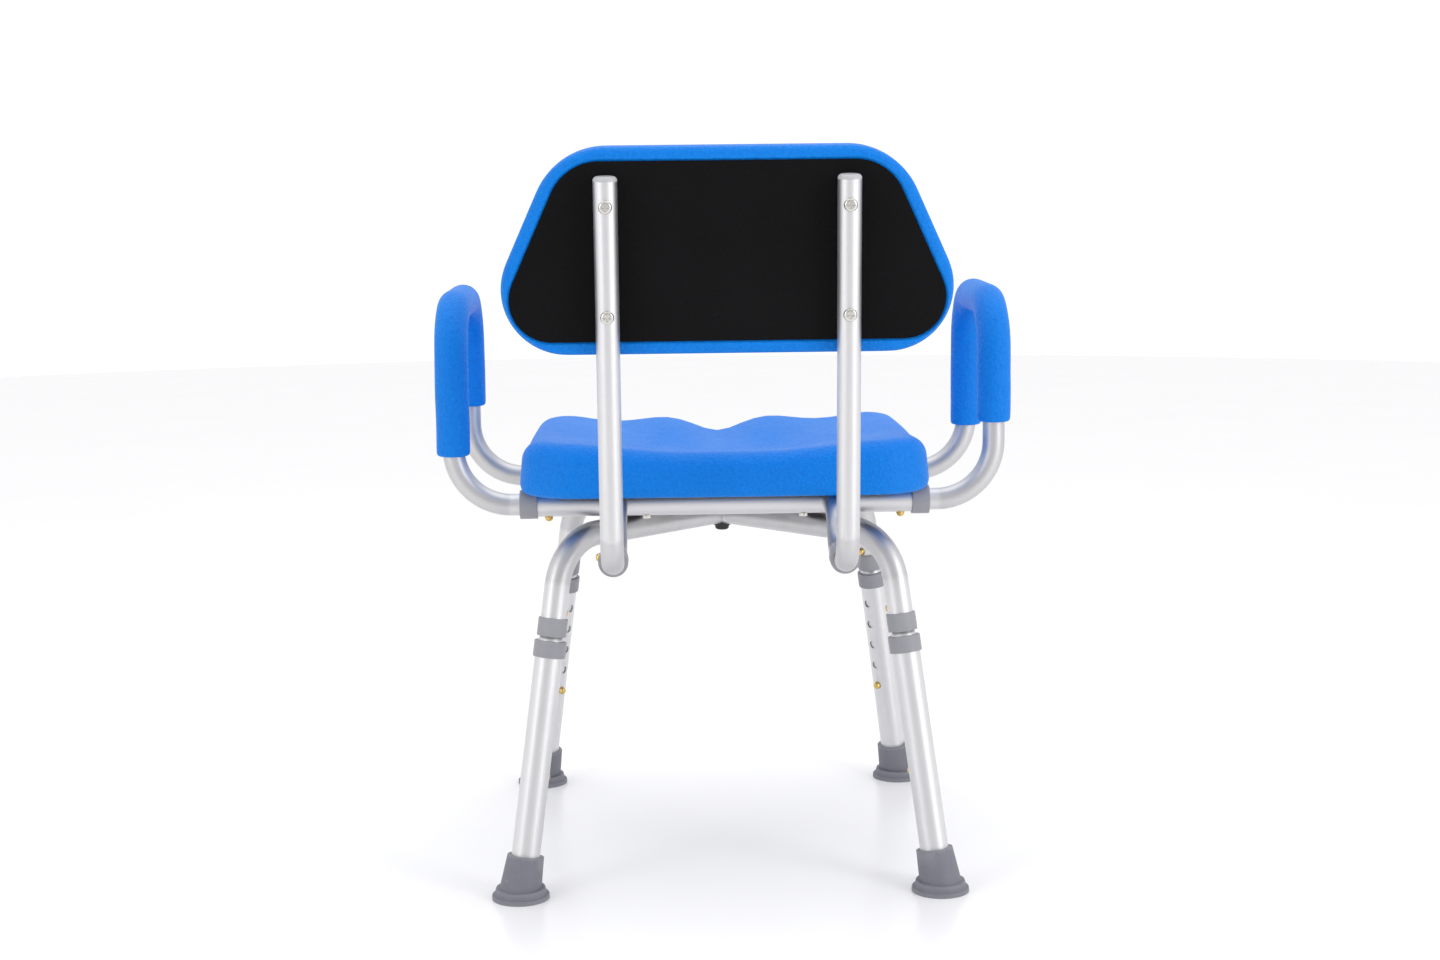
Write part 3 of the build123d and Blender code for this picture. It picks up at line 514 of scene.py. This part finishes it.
PAD_REAR = 0.0113  # from the tubes' axes to the pad's rear face
PAD_FOOT_Z = 0.5515
TUBE_RADIUS = 0.0111
TUBE_FALL = tube_high_corner.z - TUBE_RADIUS * sin(BACK_LEAN) - PAD_FOOT_Z
PAD_FOOT_Y = tube_high_corner.y - TUBE_RADIUS * cos(BACK_LEAN) - TUBE_FALL * tan(BACK_LEAN)


# How the foam's rim rolls over to the panel: outwards from the panel's rim, and depth from the rear face.
RIM_ROLL = ((0.0007, 0.0016), (0.0022, -0.0002), (0.0045, 0.0001))
# How the panel's edge is tucked in: inwards from its rim, and depth from the rear face.
PANEL_TUCK = ((0.0001, 0.0018), (0.0006, 0.0009), (0.0020, 0.0002), (0.0045, 0.00005))


def pad_outline(inset, tighter, sides=16, bend=18):
    """Places round the pad's trapezium, wide below, with big round corners that may be drawn tighter."""
    corners = [
        Vector((-PAD_HALF_FOOT, 0)), Vector((PAD_HALF_FOOT, 0)),
        Vector((PAD_HALF_HEAD, PAD_HEIGHT)), Vector((-PAD_HALF_HEAD, PAD_HEIGHT)),
    ]
    places = []
    arcs = []
    for index, (corner, rounding) in enumerate(zip(corners, PAD_CORNERS)):
        before = (corners[index - 1] - corner).normalized()
        after = (corners[(index + 1) % 4] - corner).normalized()
        half = before.angle(after) / 2
        centre = corner + (before + after).normalized() * (rounding / sin(half))
        start = corner + before * (rounding / tan(half)) - centre
        turn = pi - 2 * half
        radius = max(rounding - inset - tighter, LEAST_CORNER)
        centre = centre - (before + after).normalized() * (tighter / sin(half))
        arc = []
        for step in range(bend + 1):
            turned = Matrix.Rotation(turn * step / bend, 2) @ start
            arc.append(centre + turned.normalized() * radius)
        arcs.append(arc)
    for arc, next_arc in zip(arcs, arcs[1:] + arcs[:1]):
        places += arc
        places += [arc[-1].lerp(next_arc[0], step / sides) for step in range(1, sides)]
    return places


def pad_place(flat, depth):
    """A place in the pad's leaning plane, at a depth from the tubes' axes towards the sitter."""
    along = Vector((0, sin(BACK_LEAN), cos(BACK_LEAN)))
    towards = Vector((0, -cos(BACK_LEAN), sin(BACK_LEAN)))
    return Vector((flat.x, PAD_FOOT_Y, PAD_FOOT_Z)) + along * flat.y + towards * depth


def pad_ring(inset, depth):
    """One ring of the pad, whose corners get tighter towards the panel on the rear side."""
    rear = depth < PAD_REAR + REAR_ZONE
    tighter = PANEL_TIGHTER * soften(0.001, 0.012, inset) if rear else 0.0
    return [pad_place(flat, depth) for flat in pad_outline(inset, tighter)]


def shrunk_ring(source, share, depth_gain):
    """A ring drawn in towards the pad's middle by a share, and moved towards the sitter."""
    centre = pad_place(Vector((0, PAD_HEIGHT * PAD_MIDDLE)), PAD_REAR + PAD_THICK)
    towards = Vector((0, -cos(BACK_LEAN), sin(BACK_LEAN)))
    ring = []
    for place in source:
        flat_centre = centre + towards * (place - centre).dot(towards)
        ring.append(place.lerp(flat_centre, share) + towards * depth_gain)
    return ring


def make_back_pad():
    """The moulded back pad: a rolled rim round the panel, soft edges and a slightly crowned front."""
    front = PAD_REAR + PAD_THICK
    recess_floor = pad_ring(PANEL_RIM - 0.0006, PAD_REAR + PANEL_THICK + PANEL_FLOOR_GAP)
    rings = [shrunk_ring(recess_floor, share, 0.0) for share in (0.75, 0.4)] + [recess_floor]
    rings += [pad_ring(PANEL_RIM - out, PAD_REAR + depth) for out, depth in RIM_ROLL]
    for step in range(ROUND_STEPS + 1):
        angle = pi / 2 * step / ROUND_STEPS
        depth = PAD_REAR + 0.0002 + PAD_REAR_ROUND * (1 - cos(angle))
        rings.append(pad_ring(PAD_REAR_ROUND * (1 - sin(angle)), depth))
    for step in range(FRONT_ROUND_STEPS + 1):
        angle = pi / 2 * step / FRONT_ROUND_STEPS
        depth = front - PAD_FRONT_ROUND * (1 - sin(angle))
        rings.append(pad_ring(PAD_FRONT_ROUND * (1 - cos(angle)), depth))
    edge_ring = rings[-1]
    for step in range(1, CROWN_STEPS):
        share = step / CROWN_STEPS
        rings.append(shrunk_ring(edge_ring, share, PAD_CROWN * (1.0 - (1.0 - share) ** 2)))
    mesh = skin(rings)
    pad = add_piece("moulded_back_pad", mesh, blue_foam, "back", ["back_pad"])
    return pad


def make_back_panel():
    """The black panel, pressed into the pad's recess, with a slightly tucked edge."""
    rim = pad_ring(PANEL_RIM + PANEL_TUCK[0][0], PAD_REAR + PANEL_THICK)
    rings = [shrunk_ring(rim, 0.6, 0.0), rim]
    rings += [pad_ring(PANEL_RIM + inwards, PAD_REAR + depth) for inwards, depth in PANEL_TUCK]
    face = rings[-1]
    rings += [shrunk_ring(face, share, 0.0) for share in (0.15, 0.35, 0.55, 0.75, 0.9)]
    mesh = skin(rings)
    return add_piece("black_back_panel", mesh, black_panel, "back", ["back_panel"])


# ---- Arm sleeves ---------------------------------------------------------------------------------

ARM_BEND = 0.058
SLEEVE_RADIUS = 0.017
SLEEVE_BORE = 0.01115
SLEEVE_SIDES = 36
SLEEVE_BEND_STEPS = 14
SHORT_END_RISE = 0.028  # how much higher one end stops than the other
END_HEIGHT = 0.0035  # of the rounded end
# The rounded end and the start of the bore: radius, and height over the end.
SLEEVE_END = ((0.0164, 0.0014), (0.0150, 0.0004), (0.0136, 0.0), (0.0124, 0.0003),
              (SLEEVE_BORE, 0.0014), (SLEEVE_BORE, 0.012))
UNEVENNESS = 0.00022


def run_straight(mesh, edges, move, steps):
    """Extrudes a rim of edges along a straight line and gives the new rim."""
    for _ in range(steps):
        made = bmesh.ops.extrude_edge_only(mesh, edges=edges)
        corners = items_of(made["geom"], bmesh.types.BMVert)
        bmesh.ops.translate(mesh, verts=corners, vec=Vector(move) / steps)
        edges = items_of(made["geom"], bmesh.types.BMEdge)
    return edges


def run_bend(mesh, edges, centre, angle):
    """Spins a rim of edges about a bend's centre and gives the new rim."""
    made = bmesh.ops.spin(
        mesh, geom=edges, cent=centre, axis=(1, 0, 0), angle=angle, steps=SLEEVE_BEND_STEPS, use_duplicate=False
    )
    return items_of(made["geom_last"], bmesh.types.BMEdge)


def close_end(mesh, edges, middle):
    """Rolls a rim of edges inwards over the sleeve's end and a little way up its bore."""
    for radius, rise in SLEEVE_END:
        made = bmesh.ops.extrude_edge_only(mesh, edges=edges)
        for corner in items_of(made["geom"], bmesh.types.BMVert):
            across = Vector((corner.co.x - middle.x, corner.co.y - middle.y, 0)).normalized()
            corner.co = middle + across * radius + Vector((0, 0, rise))
        edges = items_of(made["geom"], bmesh.types.BMEdge)


def make_arm_sleeve(side):
    """A foam sleeve over the arm's level top and down both of its posts, longer at one end."""
    node = "arm_sleeve_left" if side > 0 else "arm_sleeve_right"
    low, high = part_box(node)
    x = (low.x + high.x) / 2
    near, far = high.y - SLEEVE_RADIUS, low.y + SLEEVE_RADIUS
    if side < 0:
        near, far = far, near
    outward = 1.0 if near > far else -1.0
    bend_z = high.z - SLEEVE_RADIUS - ARM_BEND
    long_end, short_end = low.z, low.z + SHORT_END_RISE
    mesh = bmesh.new()
    made = bmesh.ops.create_circle(mesh, cap_ends=False, segments=SLEEVE_SIDES, radius=SLEEVE_RADIUS)
    bmesh.ops.translate(mesh, verts=made["verts"], vec=(x, near, long_end + END_HEIGHT))
    first_edges = list(mesh.edges)
    edges = run_straight(mesh, first_edges, (0, 0, bend_z - long_end - END_HEIGHT), 10)
    edges = run_bend(mesh, edges, (x, near - outward * ARM_BEND, bend_z), outward * pi / 2)
    edges = run_straight(mesh, edges, (0, far - near + outward * 2 * ARM_BEND, 0), 8)
    edges = run_bend(mesh, edges, (x, far + outward * ARM_BEND, bend_z), outward * pi / 2)
    edges = run_straight(mesh, edges, (0, 0, short_end + END_HEIGHT - bend_z), 9)
    close_end(mesh, first_edges, Vector((x, near, long_end)))
    close_end(mesh, edges, Vector((x, far, short_end)))
    for corner in mesh.verts:
        corner.co.x += UNEVENNESS * sin(corner.co.z * 95.0 + side) * sin(corner.co.y * 70.0)
    body = node.replace("sleeve_", "")
    sleeve = add_piece("moulded_" + node, mesh, blue_foam, body, [node])
    return sleeve


make_seat_cushion()
make_back_pad()
make_back_panel()
for side in (1, -1):
    make_arm_sleeve(side)


# ---- Studio --------------------------------------------------------------------------------------

FLOOR_RADIUS = 6.0
FLOOR_SIDES = 96
LEFT_BANK = (2.0, 1.7, 1.2)
RIGHT_BANK = (-2.0, 1.7, 1.2)
BANK_AIM = (0, 0, 0.4)
BANK_SIZE = (0.9, 1.8)


def make_studio_floor():
    """A wide pale floor."""
    mesh = bmesh.new()
    bmesh.ops.create_circle(mesh, cap_ends=True, segments=FLOOR_SIDES, radius=FLOOR_RADIUS)
    data = bpy.data.meshes.new("studio_floor")
    mesh.to_mesh(data)
    mesh.free()
    floor = bpy.data.objects.new("studio_floor", data)
    bpy.context.scene.collection.objects.link(floor)
    data.materials.append(make_floor())


def add_light(name, place, aim, size, power):
    """A soft white light of a width and height that points at a place."""
    data = bpy.data.lights.new(name, "AREA")
    data.shape = "RECTANGLE"
    data.size, data.size_y = size
    data.energy = power
    light = bpy.data.objects.new(name, data)
    bpy.context.scene.collection.objects.link(light)
    light.location = place
    light.rotation_euler = (Vector(aim) - Vector(place)).to_track_quat("-Z", "Y").to_euler()


def make_studio():
    """The floor, a room that is white ahead of the camera and greyer behind it, and three lights."""
    make_studio_floor()
    world = bpy.data.worlds.new("studio_room")
    room = Finish("studio_room", world)
    heading = room.node("ShaderNodeTexCoord", {}, {}, "Generated")
    rearward = room.node("ShaderNodeSeparateXYZ", {}, {"Vector": heading}, "Y")
    tone = room.mix(room.ramp(rearward, 0.25, 0.95), colour(1.04, 1.04, 1.05), colour(0.62, 0.62, 0.64))
    shown = room.node("ShaderNodeBackground", {}, {"Color": tone, "Strength": 1.0})
    output = room.tree.nodes.new("ShaderNodeOutputWorld")
    room.tree.links.new(shown.socket, output.inputs["Surface"])
    bpy.context.scene.world = world
    bpy.context.scene.view_settings.view_transform = "Standard"
    add_light("overhead", (0.0, -0.4, 2.6), (0, -0.2, 0.3), (2.4, 2.0), 14.0)
    add_light("left_bank", LEFT_BANK, BANK_AIM, BANK_SIZE, 12.0)
    add_light("right_bank", RIGHT_BANK, BANK_AIM, BANK_SIZE, 20.0)


CAMERA_PLACE = (0.05855, 2.33819, 0.73466)
CAMERA_TURN = 3.11783  # about the upright axis, from looking at the chair's front
CAMERA_DIP = 0.14293  # below the level
CAMERA_ROLL = 0.01072
CAMERA_FILM = 36.0
CAMERA_LENS = 56.31


def make_camera():
    """The camera behind the chair, a little above the seat and nearly level."""
    data = bpy.data.cameras.new("camera")
    data.sensor_width = CAMERA_FILM
    data.lens = CAMERA_LENS
    camera = bpy.data.objects.new("camera", data)
    bpy.context.scene.collection.objects.link(camera)
    turn = Matrix.Rotation(CAMERA_TURN, 4, "Z")
    tilt = Matrix.Rotation(pi / 2 - CAMERA_DIP, 4, "X")
    roll = Matrix.Rotation(-CAMERA_ROLL, 4, "Z")
    camera.matrix_world = Matrix.Translation(CAMERA_PLACE) @ turn @ tilt @ roll
    bpy.context.scene.camera = camera


make_studio()
make_camera()
